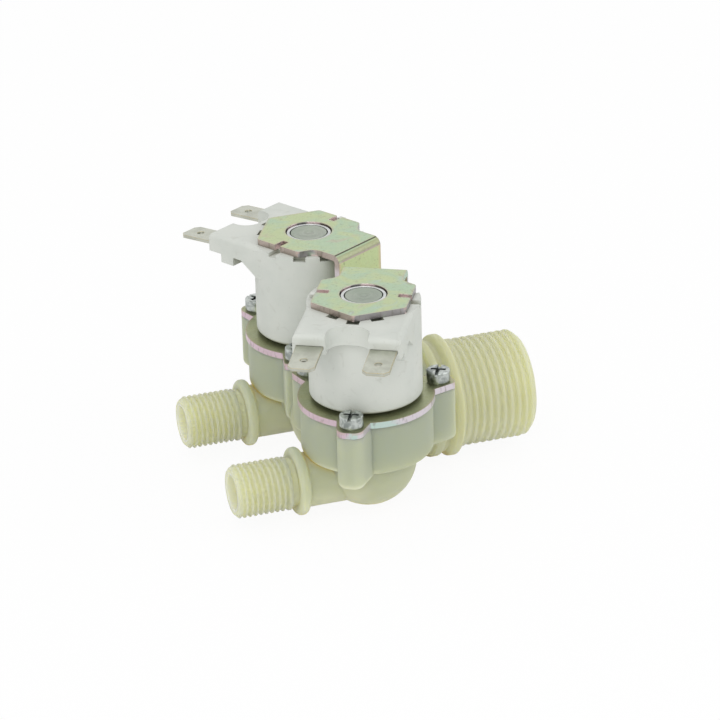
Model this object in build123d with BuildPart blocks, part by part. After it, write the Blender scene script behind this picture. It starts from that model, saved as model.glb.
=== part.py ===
"""Double solenoid valve for the cold water inlet of a washing machine.

One moulded body carries a threaded inlet and two threaded outlets. Above each of its two diaphragm
chambers stands a solenoid: a coil in a folded steel yoke, held by three screws. A plunger inside the coil
lifts off the diaphragm's pilot hole, and the diaphragm then opens the way from the inlet to its outlet.

All sizes are in millimetres. The origin is the middle of the inlet's mouth, +X points out of the inlet
and +Z points up. The heights of a solenoid unit are counted from the top of its yoke's base plate.
"""

from build123d import *

import os
from math import cos, radians, sin, sqrt, tan

# Layout
coil_setback = 46.0  # inlet mouth to the plane through both coil axes
unit_clearance = 0.23  # middle plane between the units to the nearest corner of an ear
outlet_drop = 19.6  # top of the base plates down to the outlets' axes
block_heading = 120.0  # direction of a connector block, in degrees from +X
fit_gap = 0.05  # clearance round a piece that is pushed into its place
slide_gap = 0.08  # running clearance round the plungers
sheet = 1.5  # thickness of the yoke

# Inlet
inlet_thread_r = 13.1
inlet_thread_end = 18.3  # depth behind the mouth where the collar begins
inlet_chamfer = 1.5
inlet_wall = 2.6  # crest of the thread to the mouth's wall
inlet_mouth_depth = 6.0
strainer_ledge = 0.7  # step from the mouth down to the strainer's bore
strainer_stop = 0.8  # step that stops the strainer
strainer_seat_end = 20.0  # depth of that step behind the mouth
inlet_collar_height = 1.7  # over the thread
inlet_collar_crest = 1.5  # width of the collar's flat crest
inlet_collar_flank = 1.2
inlet_neck_height = 0.5  # over the thread
inlet_rib_height = 0.8  # over the neck
inlet_rib_width = 1.7
inlet_rib_flank = 0.5
inlet_groove = 1.2  # width of the groove between collar and rib
inlet_edge_r = 0.4  # edges of the collar and the rib
manifold_wall = 3.0
manifold_clearance = 0.3  # under the yokes
manifold_taper_start = 33.0
manifold_taper_end = 36.0
port_width = 8.0  # openings from the manifold into the chambers
port_roof = 1.0  # from a port's top up to the seat of the diaphragm

# Diaphragm chambers
diaphragm_seat_r = 13.5
chamber_wall = 2.1
chamber_depth = 14.1  # base plate's top down to the chamber's underside
chamber_edge_r = 1.8
chamber_floor = 2.2
dome_r = 11.6
dome_drop = 2.1  # the dome's middle below the chamber's underside
dome_wall = 2.5
cavity_ledge = 2.0  # width of the ledge that carries the diaphragm's bead
valve_seat_depth = 8.4
valve_seat_drop = 2.7  # the valve seat's rim below that ledge
valve_seat_r = 6.0
valve_seat_wall = 1.4

# Coil housing
coil_window = 24.0  # between the base plate and the top plate
housing_lift = 0.7  # gap under the housing
housing_edge_r = 0.9
housing_wall = 1.3
end_wall = 1.2
top_wall = 1.7
block_reach = 5.9  # the arms' ends past the fork's bottom
block_thickness = 4.8
block_edge_r = 1.4  # round the top of the block
arm_outer_wall = 0.88  # beside a tab
arm_inner_wall = 0.42
gusset_out = 10.9
gusset_in = 6.0
gusset_height = 3.3
foot_gap = 0.1  # drum to foot
foot_length = 3.9
foot_height = 2.1
foot_width = 4.5
fork_gap = 10.0
fork_web = 1.9  # drum to the fork's bottom
fork_corner_r = 4.0
pocket_width = 3.0
pocket_depth = 1.0
pocket_inner_r = 9.0
pocket_spread = 26.0  # angle between neighbouring pockets
middle_pocket_overhang = 0.8  # past the drum
side_pocket_wall = 0.7
rim_recess_width = 1.7
rim_recess_depth = 1.0
rim_recesses = {121.5: 12.5, 152.0: 18.0}  # heading of a recess and the angle it spans
rim_notch_width = 2.2
rim_notch_inner_r = 10.0
peg_length = 1.2
peg_width = 1.6
peg_height = 0.9
rim_overrun = 1.0  # how far a cut in the rim runs past it

# Screws and their holes
screw_head_r = 2.8
screw_head_height = 2.6
screw_clearance = 1.9  # between the heads and the coil housing
screw_shank_r = 1.9
screw_reach = 11.0
screw_neck_height = 0.5
screw_seat = 0.35  # overlap of the neck and the ear round its hole
head_edge_r = 0.4
slot_width = 0.8
slot_depth = 0.7
cross_length = 3.6
cross_width = 0.9
cross_depth = 1.3
boss_hole_gap = 0.1
boss_hole_spare = 1.0
ear_hole_gap = 0.3

# Screw bosses and ears; the ear under the block is rounder than the two others
ear_root = 2.6  # how deep an ear is rooted in the chamber's wall
block_ear_margin = 3.7  # past the screw's axis
block_ear_tip_width = 5.6
block_ear_root_width = 9.0
block_ear_corner_r = 2.6
side_ear_margin = 3.5
side_ear_tip_width = 4.6
side_ear_root_width = 9.6
side_ear_corner_r = 1.0
side_ear_heading = 120.0
boss_floor = 1.5
boss_edge_r = 1.8

# Outlets
outlet_length = 33.7  # coil axis to the outlet's tip
outlet_thread_r = 6.45
outlet_chamfer = 1.0
outlet_wall = 2.15  # crest of the thread to the bore
outlet_bore_depth = 16.0
outlet_step = 0.7  # from the bore down to the inner passage
outlet_collar_height = 1.65  # over the thread
outlet_collar_width = 2.4
outlet_collar_start = 16.5  # coil axis to the collar's near side
outlet_collar_edge_r = 1.0
outlet_relief_depth = 0.65
outlet_relief_width = 1.6
outlet_neck_height = 0.05  # over the thread

# Yoke
plate_margin = 0.5  # base plate over the chamber's wall
strap_width = 15.0
strap_gap = 1.4  # between the coil housing and the strap
bend_outer_r = 2.0
bend_inner_r = 0.5
hexagon_flats = 22.5
hexagon_corner_r = 1.2
neck_fillet_r = 3.0
slit_width = 1.7
slit_margin = 2.6  # between the hole in the top plate and a slit's end

# Terminals
tab_width = 6.3
tab_thickness = 0.8
tab_slope = 4.5
tab_exit_gap = 1.0  # block's front to the tab's reference point
tab_sink = 3.24  # that point below the block's top
tab_free_length = 9.6
tab_inner_length = 6.6
tab_corner = 1.1
tab_hole_r = 0.85
tab_hole_setback = 4.05

# Guide tube, sleeves, bobbin and winding
plunger_bore_r = 3.6
tube_wall = 0.75
tube_end = 0.7
tube_recess = 0.05  # the tube's end lies this far below the upper sleeve's end
flange_thickness = 2.0
sleeve_clearance = 0.2  # round the guide tube
sleeve_wall = 0.8
sleeve_sink = 0.3  # the upper sleeve's end below the top plate's face
sleeve_ring_gap = 0.25  # between the upper sleeve and the hole in the top plate
upper_sleeve_length = 9.0
lower_sleeve_length = 9.5
bobbin_wall = 1.25
bobbin_flange = 1.0
winding_depth = 4.85
winding_margin = 0.5  # between the winding and the housing's wall

# Plunger and spring
plunger_chamfer = 0.3
plunger_lift = 2.4
lift_spare = 0.3  # left above the plunger at full lift
spring_wire = 0.6
spring_r = 1.9
spring_turns = 7
spring_clearance = 0.2
spring_pocket_depth = 8.0
seal_r = 2.3
seal_thickness = 2.0
seal_proud = 0.4

# Diaphragm
bead_width = 1.85
web_thickness = 0.8
web_rise = 0.9  # the web's outer edge above the bead's foot
pad_overlap = 0.9  # of the pad over the valve seat
pad_thickness = 1.8
insert_top_r = 4.6
insert_top_thickness = 0.9
insert_nub_r = 1.4
insert_nub_height = 0.5
insert_stem_r = 2.0
insert_foot_gap = 1.2  # between the insert's foot and the valve seat's bore
insert_foot_thickness = 1.0
pilot_r = 0.6
bleed_hole_r = 0.5
bleed_hole_gap = 2.5  # the bleed hole's middle past the pad

# Strainer
strainer_rim = 1.5
strainer_rim_width = 1.75
strainer_taper = 2.8  # how much narrower the basket is at its tip
strainer_wall = 0.9
strainer_slots = 12
strainer_slot_width = 1.6
strainer_slot_start = 2.6
strainer_slot_end = 11.4

# Worked out from the sizes above
inlet_mouth_r = inlet_thread_r - inlet_wall
inlet_collar_r = inlet_thread_r + inlet_collar_height
inlet_neck_r = inlet_thread_r + inlet_neck_height
inlet_rib_r = inlet_neck_r + inlet_rib_height
strainer_seat_r = inlet_mouth_r - strainer_ledge
water_way_r = strainer_seat_r - strainer_stop
manifold_r = water_way_r + manifold_wall
inlet_drop = sheet + manifold_clearance + manifold_r  # top of the base plates down to the inlet's axis
chamber_r = diaphragm_seat_r + chamber_wall
cavity_r = diaphragm_seat_r - cavity_ledge
diaphragm_seat_depth = valve_seat_depth - valve_seat_drop
valve_seat_bore_r = valve_seat_r - valve_seat_wall
dome_middle_depth = chamber_depth + dome_drop
port_height = chamber_depth - chamber_floor - diaphragm_seat_depth - port_roof
tube_r = plunger_bore_r + tube_wall
sleeve_bore_r = tube_r + sleeve_clearance
sleeve_r = sleeve_bore_r + sleeve_wall
housing_bore_r = sleeve_r + fit_gap + bobbin_wall
winding_r = housing_bore_r + winding_depth
winding_space_r = winding_r + winding_margin
housing_r = winding_space_r + housing_wall
screw_circle_r = housing_r + screw_clearance + screw_head_r
boss_hole_r = screw_shank_r + boss_hole_gap
boss_hole_depth = screw_reach + boss_hole_spare
boss_depth = sheet + boss_hole_depth + boss_floor
ear_hole_r = screw_shank_r + ear_hole_gap
screw_neck_r = ear_hole_r + screw_seat
ear_root_r = chamber_r - ear_root
side_ear_tip_r = screw_circle_r + side_ear_margin
ear_reach = side_ear_tip_r * sin(radians(side_ear_heading)) + side_ear_tip_width / 2 * cos(radians(60))
unit_pitch = 2 * (ear_reach + unit_clearance)
outlet_bore_r = outlet_thread_r - outlet_wall
outlet_way_r = outlet_bore_r - outlet_step
outlet_collar_r = outlet_thread_r + outlet_collar_height
outlet_relief_r = outlet_thread_r - outlet_relief_depth
outlet_neck_r = outlet_thread_r + outlet_neck_height
disc_r = chamber_r + plate_margin
strap_inner = housing_r + strap_gap
strap_face = strap_inner + sheet
plate_hole_r = sleeve_r + sleeve_ring_gap
slit_inner_r = plate_hole_r + slit_margin
fork_bottom = housing_r + fork_web
block_front = fork_bottom + block_reach
block_under = coil_window - block_thickness
gusset_foot = block_under - gusset_height
foot_start = housing_r + foot_gap
foot_end = foot_start + foot_length
tab_offset = fork_gap / 2 + arm_inner_wall + tab_width / 2
tab_exit = block_front + tab_exit_gap
tab_exit_height = coil_window - tab_sink
block_width = 2 * (tab_offset + tab_width / 2 + arm_outer_wall)
under_plate = -sheet
seat_level = -valve_seat_depth
pad_r = valve_seat_r + pad_overlap
pad_top = seat_level + pad_thickness
pilot_level = pad_top + insert_top_thickness + insert_nub_height
bead_inner_r = diaphragm_seat_r - fit_gap - bead_width
insert_foot_r = valve_seat_bore_r - insert_foot_gap
plunger_r = plunger_bore_r - slide_gap
sleeve_top = coil_window + sheet - sleeve_sink
tube_top = sleeve_top - tube_recess
tube_inner_top = tube_top - tube_end
plunger_foot = pilot_level + seal_proud
plunger_top = tube_inner_top - plunger_lift - lift_spare
spring_pocket_r = spring_r + spring_wire / 2 + spring_clearance
strainer_rim_r = strainer_seat_r - fit_gap
strainer_mouth_r = strainer_rim_r - strainer_rim_width
strainer_tip_r = strainer_mouth_r - strainer_taper
outlet_tip = -coil_setback - outlet_length


def unit_plane(side):
    """Frame of one solenoid unit: origin on the coil's axis at the base plate's top, x towards its block."""
    heading = radians(side * block_heading)
    return Plane(
        origin=(-coil_setback, side * unit_pitch / 2, inlet_drop),
        x_dir=(cos(heading), sin(heading), 0),
        z_dir=(0, 0, 1),
    )


def section(unit):
    """Upright plane through the coil's axis and the block's middle: sketch x is the radius, y the height."""
    return Plane(unit.origin, x_dir=unit.x_dir, z_dir=-unit.y_dir)


def turned(unit, degrees):
    """The unit's frame turned about the coil's axis."""
    angle = radians(degrees)
    return Plane(unit.origin, x_dir=unit.x_dir * cos(angle) + unit.y_dir * sin(angle), z_dir=unit.z_dir)


def coil_axis(unit):
    return Axis(unit.origin, unit.z_dir)


def ear_outline(tip_r, tip_width, root_width, corner_r):
    """Outline of an ear and of the screw boss under it, along x: tapered flanks and a rounded tip."""
    with BuildSketch() as ear:
        with BuildLine():
            Polyline(
                (ear_root_r, -root_width / 2),
                (tip_r, -tip_width / 2),
                (tip_r, tip_width / 2),
                (ear_root_r, root_width / 2),
                close=True,
            )
        make_face()
        fillet(ear.vertices().group_by(Axis.X)[-1], radius=corner_r)
    return ear.sketch


block_ear_tip_r = screw_circle_r + block_ear_margin
block_ear = ear_outline(block_ear_tip_r, block_ear_tip_width, block_ear_root_width, block_ear_corner_r)
side_ear = ear_outline(side_ear_tip_r, side_ear_tip_width, side_ear_root_width, side_ear_corner_r)
ears = {0.0: block_ear, side_ear_heading: side_ear, -side_ear_heading: side_ear}


def make_boss(unit, heading, outline):
    """Screw boss under an ear, rounded round its foot."""
    with BuildPart() as boss:
        with BuildSketch(turned(unit, heading).offset(-boss_depth)):
            add(outline)
        extrude(amount=boss_depth + under_plate)
        low_edges = boss.edges().group_by(Axis.Z)[0].sort_by_distance(unit.origin)
        fillet(low_edges[1:], radius=boss_edge_r)
    return boss.part


def screw_places():
    """The three screws of a unit, one through each ear."""
    return [(screw_circle_r * cos(radians(h)), screw_circle_r * sin(radians(h))) for h in ears]


def make_valve_body():
    """One moulding: inlet, manifold, two diaphragm chambers with their bosses, and two outlets."""
    crest_start = inlet_thread_end + inlet_collar_flank
    groove_start = crest_start + inlet_collar_crest + inlet_collar_flank
    rib_start = groove_start + inlet_groove + inlet_rib_flank
    inlet_outline = [
        (0, 0),
        (0, inlet_thread_r - inlet_chamfer),
        (-inlet_chamfer, inlet_thread_r),
        (-inlet_thread_end, inlet_thread_r),
        (-crest_start, inlet_collar_r),
        (-crest_start - inlet_collar_crest, inlet_collar_r),
        (-groove_start, inlet_neck_r),
        (-groove_start - inlet_groove, inlet_neck_r),
        (-rib_start, inlet_rib_r),
        (-rib_start - inlet_rib_width, inlet_rib_r),
        (-rib_start - inlet_rib_width - inlet_rib_flank, inlet_neck_r),
        (-manifold_taper_start, inlet_neck_r),
        (-manifold_taper_end, manifold_r),
        (-coil_setback, manifold_r),
    ]
    units = [unit_plane(side) for side in (-1, 1)]
    bosses = [make_boss(unit, heading, outline) for unit in units for heading, outline in ears.items()]
    seat_post_foot_r = dome_r - dome_wall / 2
    seat_post_foot = dome_middle_depth + sqrt(seat_post_foot_r**2 - valve_seat_r**2)
    with BuildPart() as body:
        with BuildSketch(Plane.XZ) as inlet:
            with BuildLine():
                Polyline(*inlet_outline)
                RadiusArc((-coil_setback, manifold_r), (-coil_setback - manifold_r, 0), -manifold_r)
                Line((-coil_setback - manifold_r, 0), (0, 0))
            make_face()
            raised = [
                (-crest_start, inlet_collar_r),
                (-crest_start - inlet_collar_crest, inlet_collar_r),
                (-rib_start, inlet_rib_r),
                (-rib_start - inlet_rib_width, inlet_rib_r),
            ]
            raised_corners = [inlet.vertices().sort_by_distance(point)[0] for point in raised]
            fillet(raised_corners, radius=inlet_edge_r)
        revolve(axis=Axis.X)

        for unit in units:
            # Chamber and dome, turned about the coil's axis
            with BuildSketch(section(unit)) as shell:
                with BuildLine():
                    RadiusArc((0, -dome_middle_depth - dome_r), (dome_r, -dome_middle_depth), -dome_r)
                    Polyline(
                        (dome_r, -dome_middle_depth),
                        (dome_r, -chamber_depth),
                        (chamber_r, -chamber_depth),
                        (chamber_r, under_plate),
                        (0, under_plate),
                        (0, -dome_middle_depth - dome_r),
                    )
                make_face()
                edge_points = [(dome_r, -chamber_depth), (chamber_r, -chamber_depth)]
                corners = [shell.vertices().sort_by_distance(point)[0] for point in edge_points]
                fillet(corners, radius=min(chamber_edge_r, 0.48 * (chamber_r - dome_r), 0.9 * dome_drop))
            revolve(axis=coil_axis(unit))

            # Outlet: threaded tip, relief groove, round collar and neck
            outlet_axis = Axis((-coil_setback, unit.origin.Y, inlet_drop - outlet_drop), (1, 0, 0))
            outlet_plane = Plane(outlet_axis.position, x_dir=(-1, 0, 0), z_dir=(0, 1, 0))
            collar_end = outlet_collar_start + outlet_collar_width
            with BuildSketch(outlet_plane) as outlet:
                with BuildLine():
                    Polyline(
                        (0, 0),
                        (0, outlet_neck_r),
                        (outlet_collar_start, outlet_neck_r),
                        (outlet_collar_start, outlet_collar_r),
                        (collar_end, outlet_collar_r),
                        (collar_end, outlet_relief_r),
                        (collar_end + outlet_relief_width, outlet_relief_r),
                        (collar_end + outlet_relief_width, outlet_thread_r),
                        (outlet_length - outlet_chamfer, outlet_thread_r),
                        (outlet_length, outlet_thread_r - outlet_chamfer),
                        (outlet_length, 0),
                        close=True,
                    )
                make_face()
                crest_points = [(outlet_collar_start, outlet_collar_r), (collar_end, outlet_collar_r)]
                crest = [outlet.vertices().sort_by_distance(point)[0] for point in crest_points]
                fillet(crest, radius=outlet_collar_edge_r)
            revolve(axis=outlet_axis)
        add(bosses)

        for unit in units:
            # Seat for the diaphragm's bead, then the ring of water round the valve seat
            with BuildSketch(unit.offset(under_plate)):
                Circle(diaphragm_seat_r)
            extrude(amount=-(diaphragm_seat_depth - sheet), mode=Mode.SUBTRACT)
            inner_dome_r = dome_r - dome_wall
            inner_dome_foot = (0, -dome_middle_depth - inner_dome_r)
            with BuildSketch(section(unit)):
                with BuildLine():
                    RadiusArc(inner_dome_foot, (inner_dome_r, -dome_middle_depth), -inner_dome_r)
                    Polyline(
                        (inner_dome_r, -dome_middle_depth),
                        (inner_dome_r, -chamber_depth + chamber_floor),
                        (cavity_r, -chamber_depth + chamber_floor),
                        (cavity_r, -diaphragm_seat_depth),
                        (0, -diaphragm_seat_depth),
                        inner_dome_foot,
                    )
                make_face()
            revolve(axis=coil_axis(unit), mode=Mode.SUBTRACT)

            # Valve seat, a post that stands in the dome, with the outlet's passage through it
            post_foot = (0, -dome_middle_depth - seat_post_foot_r)
            with BuildSketch(section(unit)):
                with BuildLine():
                    RadiusArc(post_foot, (valve_seat_r, -seat_post_foot), -seat_post_foot_r)
                    Polyline(
                        (valve_seat_r, -seat_post_foot),
                        (valve_seat_r, -valve_seat_depth),
                        (0, -valve_seat_depth),
                        post_foot,
                    )
                make_face()
            revolve(axis=coil_axis(unit))
            outlet_start = Plane(
                origin=(-coil_setback + valve_seat_r, unit.origin.Y, inlet_drop - outlet_drop),
                z_dir=(-1, 0, 0),
            )
            with BuildSketch(outlet_start):
                Circle(valve_seat_r)
            extrude(amount=valve_seat_r + dome_r)

        # Water ways
        with BuildSketch(Plane.YZ):
            Circle(inlet_mouth_r)
        extrude(amount=-inlet_mouth_depth, mode=Mode.SUBTRACT)
        with BuildSketch(Plane.YZ):
            Circle(strainer_seat_r)
        extrude(amount=-strainer_seat_end, mode=Mode.SUBTRACT)
        with BuildSketch(Plane.YZ):
            Circle(water_way_r)
        extrude(amount=-coil_setback, mode=Mode.SUBTRACT)
        port_middle = inlet_drop - chamber_depth + chamber_floor + port_height / 2
        with BuildSketch(Plane.XZ.offset(-(unit_pitch / 2 - valve_seat_r - dome_wall))):
            with Locations((-coil_setback, port_middle)):
                Rectangle(port_width, port_height)
        extrude(amount=unit_pitch - 2 * (valve_seat_r + dome_wall), mode=Mode.SUBTRACT)

        for unit in units:
            with BuildSketch(unit.offset(-valve_seat_depth)):
                Circle(valve_seat_bore_r)
            extrude(amount=-(outlet_drop - valve_seat_depth), mode=Mode.SUBTRACT)
            outlet_end = Plane(origin=(outlet_tip, unit.origin.Y, inlet_drop - outlet_drop), z_dir=(1, 0, 0))
            with BuildSketch(outlet_end):
                Circle(outlet_way_r)
            extrude(amount=outlet_length + outlet_way_r, mode=Mode.SUBTRACT)
            with BuildSketch(outlet_end):
                Circle(outlet_bore_r)
            extrude(amount=outlet_bore_depth, mode=Mode.SUBTRACT)
            with BuildSketch(unit.offset(under_plate)):
                with Locations(*screw_places()):
                    Circle(boss_hole_r)
            extrude(amount=-boss_hole_depth, mode=Mode.SUBTRACT)
    return body.part


def make_yoke(unit):
    """One folded sheet: base plate with three ears, strap behind the coil, hexagonal top plate."""
    plate_top = coil_window + sheet
    with BuildPart() as yoke:
        with BuildSketch(unit.offset(under_plate)):
            Circle(disc_r)
            with Locations((-disc_r, 0)):
                Rectangle(2 * (disc_r - strap_inner + sheet), strap_width, mode=Mode.SUBTRACT)
            for heading, outline in ears.items():
                add(outline, rotation=heading)
            Circle(sleeve_r + fit_gap, mode=Mode.SUBTRACT)
            with Locations(*screw_places()):
                Circle(ear_hole_r, mode=Mode.SUBTRACT)
        extrude(amount=sheet)

        strap_root = strap_inner - 2 * sheet
        with BuildSketch(section(unit)) as strap:
            with BuildLine():
                Polyline(
                    (-strap_root, under_plate),
                    (-strap_face, under_plate),
                    (-strap_face, plate_top),
                    (-strap_root, plate_top),
                    (-strap_root, coil_window),
                    (-strap_inner, coil_window),
                    (-strap_inner, 0),
                    (-strap_root, 0),
                    close=True,
                )
            make_face()
            outer = [strap.vertices().sort_by_distance((-strap_face, z))[0] for z in (under_plate, plate_top)]
            fillet(outer, radius=bend_outer_r)
            inner = [strap.vertices().sort_by_distance((-strap_inner, z))[0] for z in (0, coil_window)]
            fillet(inner, radius=bend_inner_r)
        extrude(amount=strap_width / 2, both=True)

        with BuildSketch(unit.offset(coil_window)) as top:
            RegularPolygon(radius=hexagon_flats / 2, side_count=6, major_radius=False)
            with Locations((-strap_inner / 2, 0)):
                Rectangle(strap_inner, strap_width)
            corner_r = hexagon_flats / sqrt(3)
            neck_x = -(corner_r - strap_width / 2 / tan(radians(60)))
            neck_points = [(neck_x, hand * strap_width / 2) for hand in (-1, 1)]
            necks = [top.vertices().sort_by_distance(point)[0] for point in neck_points]
            fillet(necks, radius=neck_fillet_r)
            tips = []
            for heading in (0, 60, -60, 120, -120):
                tip = (corner_r * cos(radians(heading)), corner_r * sin(radians(heading)))
                tips.append(top.vertices().sort_by_distance(tip)[0])
            fillet(tips, radius=hexagon_corner_r)
            slit_length = hexagon_flats / 2 - slit_inner_r
            for y in (-1, 1):
                with Locations((0, y * (slit_inner_r + slit_length / 2))):
                    Rectangle(slit_width, slit_length, mode=Mode.SUBTRACT)
            Circle(plate_hole_r, mode=Mode.SUBTRACT)
        extrude(amount=sheet)
    return yoke.part


def tab_plane(unit, hand):
    """Frame of one terminal where it leaves the block: x along the tab, which slopes down outwards."""
    slope = radians(tab_slope)
    foot = unit.origin + unit.x_dir * tab_exit + unit.y_dir * hand * tab_offset
    origin = foot + unit.z_dir * tab_exit_height
    return Plane(
        origin,
        x_dir=unit.x_dir * cos(slope) - unit.z_dir * sin(slope),
        z_dir=unit.x_dir * sin(slope) + unit.z_dir * cos(slope),
    )


def make_terminal(unit, hand):
    """A push-on tab with cut corners and a latching hole."""
    middle = (tab_free_length - tab_inner_length) / 2
    with BuildPart() as terminal:
        with BuildSketch(tab_plane(unit, hand)) as blade:
            with Locations((middle, 0)):
                Rectangle(tab_free_length + tab_inner_length, tab_width)
            chamfer(blade.vertices().group_by(Axis.X)[-1], length=tab_corner)
            with Locations((tab_free_length - tab_hole_setback, 0)):
                Circle(tab_hole_r, mode=Mode.SUBTRACT)
        extrude(amount=tab_thickness / 2, both=True)
    return terminal.part


def make_block(unit):
    """Connector block before it joins the drum: flush with the drum's top, rounded round its upper edges."""
    with BuildPart() as block:
        with BuildSketch(section(unit)):
            with BuildLine():
                Polyline(
                    (0, coil_window),
                    (block_front, coil_window),
                    (block_front, block_under),
                    (gusset_out, block_under),
                    (gusset_in, gusset_foot),
                    (0, gusset_foot),
                    close=True,
                )
            make_face()
        extrude(amount=block_width / 2, both=True)
        top_edges = block.faces().sort_by(Axis.Z)[-1].edges()
        fillet(top_edges.sort_by_distance(unit.origin)[1:], radius=block_edge_r)
    return block.part


def make_coil_housing(unit):
    """White overmoulding: drum round the winding and a forked connector block with room for two tabs."""
    block = make_block(unit)
    with BuildPart() as housing:
        with BuildSketch(section(unit)) as drum:
            with Locations((housing_r / 2, (housing_lift + coil_window) / 2)):
                Rectangle(housing_r, coil_window - housing_lift)
            fillet(drum.vertices().sort_by_distance((housing_r, housing_lift))[0], radius=housing_edge_r)
        revolve(axis=coil_axis(unit))

        add(block)
        foot_middle = (foot_start + foot_end) / 2
        with BuildSketch(unit.offset(block_under - foot_height)):
            for hand in (-1, 1):
                with Locations((foot_middle, hand * (block_width - foot_width) / 2)):
                    Rectangle(foot_end - foot_start, foot_width)
        extrude(amount=foot_height)

        # Gap between the two arms of the fork
        with BuildSketch(unit.offset(gusset_foot)) as fork:
            with Locations((fork_bottom + block_front / 2, 0)):
                Rectangle(block_front, fork_gap)
            fillet(fork.vertices().group_by(Axis.X)[0], radius=fork_corner_r)
        extrude(amount=coil_window, mode=Mode.SUBTRACT)

        # Bore for the bobbin and room for the winding
        with BuildSketch(unit.offset(housing_lift)):
            Circle(housing_bore_r + fit_gap)
        extrude(amount=coil_window, mode=Mode.SUBTRACT)
        winding_space = coil_window - housing_lift - end_wall - top_wall
        with BuildSketch(unit.offset(housing_lift + end_wall)):
            Circle(winding_space_r)
        extrude(amount=winding_space, mode=Mode.SUBTRACT)

        for hand in (-1, 1):
            with BuildSketch(tab_plane(unit, hand)):
                with Locations((0, 0)):
                    Rectangle(2 * tab_inner_length, tab_width + 2 * fit_gap)
            extrude(amount=tab_thickness / 2 + fit_gap, both=True, mode=Mode.SUBTRACT)

        # Pockets in the top towards the block, and lower stretches of the rim behind
        with BuildSketch(unit.offset(coil_window)):
            side_reach = housing_r - side_pocket_wall
            middle_reach = housing_r + middle_pocket_overhang
            pockets = {0: middle_reach, pocket_spread: side_reach, -pocket_spread: side_reach}
            for heading, reach in pockets.items():
                with Locations(Location((0, 0, 0), (0, 0, heading))):
                    with Locations(((pocket_inner_r + reach) / 2, 0)):
                        Rectangle(reach - pocket_inner_r, pocket_width)
        extrude(amount=-pocket_depth, mode=Mode.SUBTRACT)
        with BuildSketch(unit.offset(coil_window)):
            for heading, span in rim_recesses.items():
                recess_length = 2 * housing_r * tan(radians(span / 2))
                for hand in (-1, 1):
                    with Locations(Location((0, 0, 0), (0, 0, hand * heading))):
                        with Locations((housing_r + (rim_overrun - rim_recess_width) / 2, 0)):
                            Rectangle(rim_overrun + rim_recess_width, recess_length)
            notch_length = housing_r + rim_overrun - rim_notch_inner_r
            with Locations((0, rim_notch_inner_r + notch_length / 2)):
                Rectangle(rim_notch_width, notch_length)
        extrude(amount=-rim_recess_depth, mode=Mode.SUBTRACT)

        # Peg beside the top plate, on the side away from the notch
        with BuildSketch(unit.offset(coil_window)):
            with Locations((0, -(housing_r - side_pocket_wall - peg_length / 2))):
                Rectangle(peg_width, peg_length)
        extrude(amount=peg_height)
    return housing.part


def make_bobbin(unit):
    """Former of the winding: a tube with a flange near each end."""
    low = housing_lift + end_wall
    high = coil_window - top_wall
    flange_r = winding_space_r - fit_gap
    tube = housing_bore_r
    with BuildPart() as bobbin:
        with BuildSketch(section(unit)):
            with BuildLine():
                Polyline(
                    (sleeve_r + fit_gap, housing_lift),
                    (tube, housing_lift),
                    (tube, low),
                    (flange_r, low),
                    (flange_r, low + bobbin_flange),
                    (tube, low + bobbin_flange),
                    (tube, high - bobbin_flange),
                    (flange_r, high - bobbin_flange),
                    (flange_r, high),
                    (tube, high),
                    (tube, coil_window),
                    (sleeve_r + fit_gap, coil_window),
                    close=True,
                )
            make_face()
        revolve(axis=coil_axis(unit))
    return bobbin.part


def make_winding(unit):
    low = housing_lift + end_wall + bobbin_flange + fit_gap
    high = coil_window - top_wall - bobbin_flange - fit_gap
    with BuildPart() as winding:
        with BuildSketch(unit.offset(low)):
            Circle(winding_r)
            Circle(housing_bore_r + fit_gap, mode=Mode.SUBTRACT)
        extrude(amount=high - low)
    return winding.part


def make_sleeve(unit, bottom, length):
    """A rolled steel bush between the bobbin and the guide tube."""
    with BuildPart() as sleeve:
        with BuildSketch(unit.offset(bottom)):
            Circle(sleeve_r)
            Circle(sleeve_bore_r, mode=Mode.SUBTRACT)
        extrude(amount=length)
    return sleeve.part


def make_guide_tube(unit):
    """Closed plastic tube in which the plunger slides, with the flange that clamps the diaphragm."""
    flange_r = diaphragm_seat_r - fit_gap
    with BuildPart() as tube:
        with BuildSketch(section(unit)):
            with BuildLine():
                Polyline(
                    (plunger_bore_r, under_plate - flange_thickness),
                    (flange_r, under_plate - flange_thickness),
                    (flange_r, under_plate),
                    (tube_r, under_plate),
                    (tube_r, tube_top),
                    (0, tube_top),
                    (0, tube_inner_top),
                    (plunger_bore_r, tube_inner_top),
                    close=True,
                )
            make_face()
        revolve(axis=coil_axis(unit))
    return tube.part


def make_plunger(unit):
    """Steel armature: a pocket for the spring in its top, one for the rubber tip in its foot."""
    with BuildPart() as plunger:
        with BuildSketch(unit.offset(plunger_foot)):
            Circle(plunger_r)
        extrude(amount=plunger_top - plunger_foot)
        chamfer(plunger.edges().group_by(Axis.Z)[-1], length=plunger_chamfer)
        with BuildSketch(unit.offset(plunger_top)):
            Circle(spring_pocket_r + fit_gap)
        extrude(amount=-spring_pocket_depth, mode=Mode.SUBTRACT)
        with BuildSketch(unit.offset(plunger_foot)):
            Circle(seal_r + fit_gap)
        extrude(amount=seal_thickness - seal_proud, mode=Mode.SUBTRACT)
    return plunger.part


def make_plunger_seal(unit):
    with BuildPart() as seal:
        with BuildSketch(unit.offset(pilot_level)):
            Circle(seal_r)
        extrude(amount=seal_thickness)
    return seal.part


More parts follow.
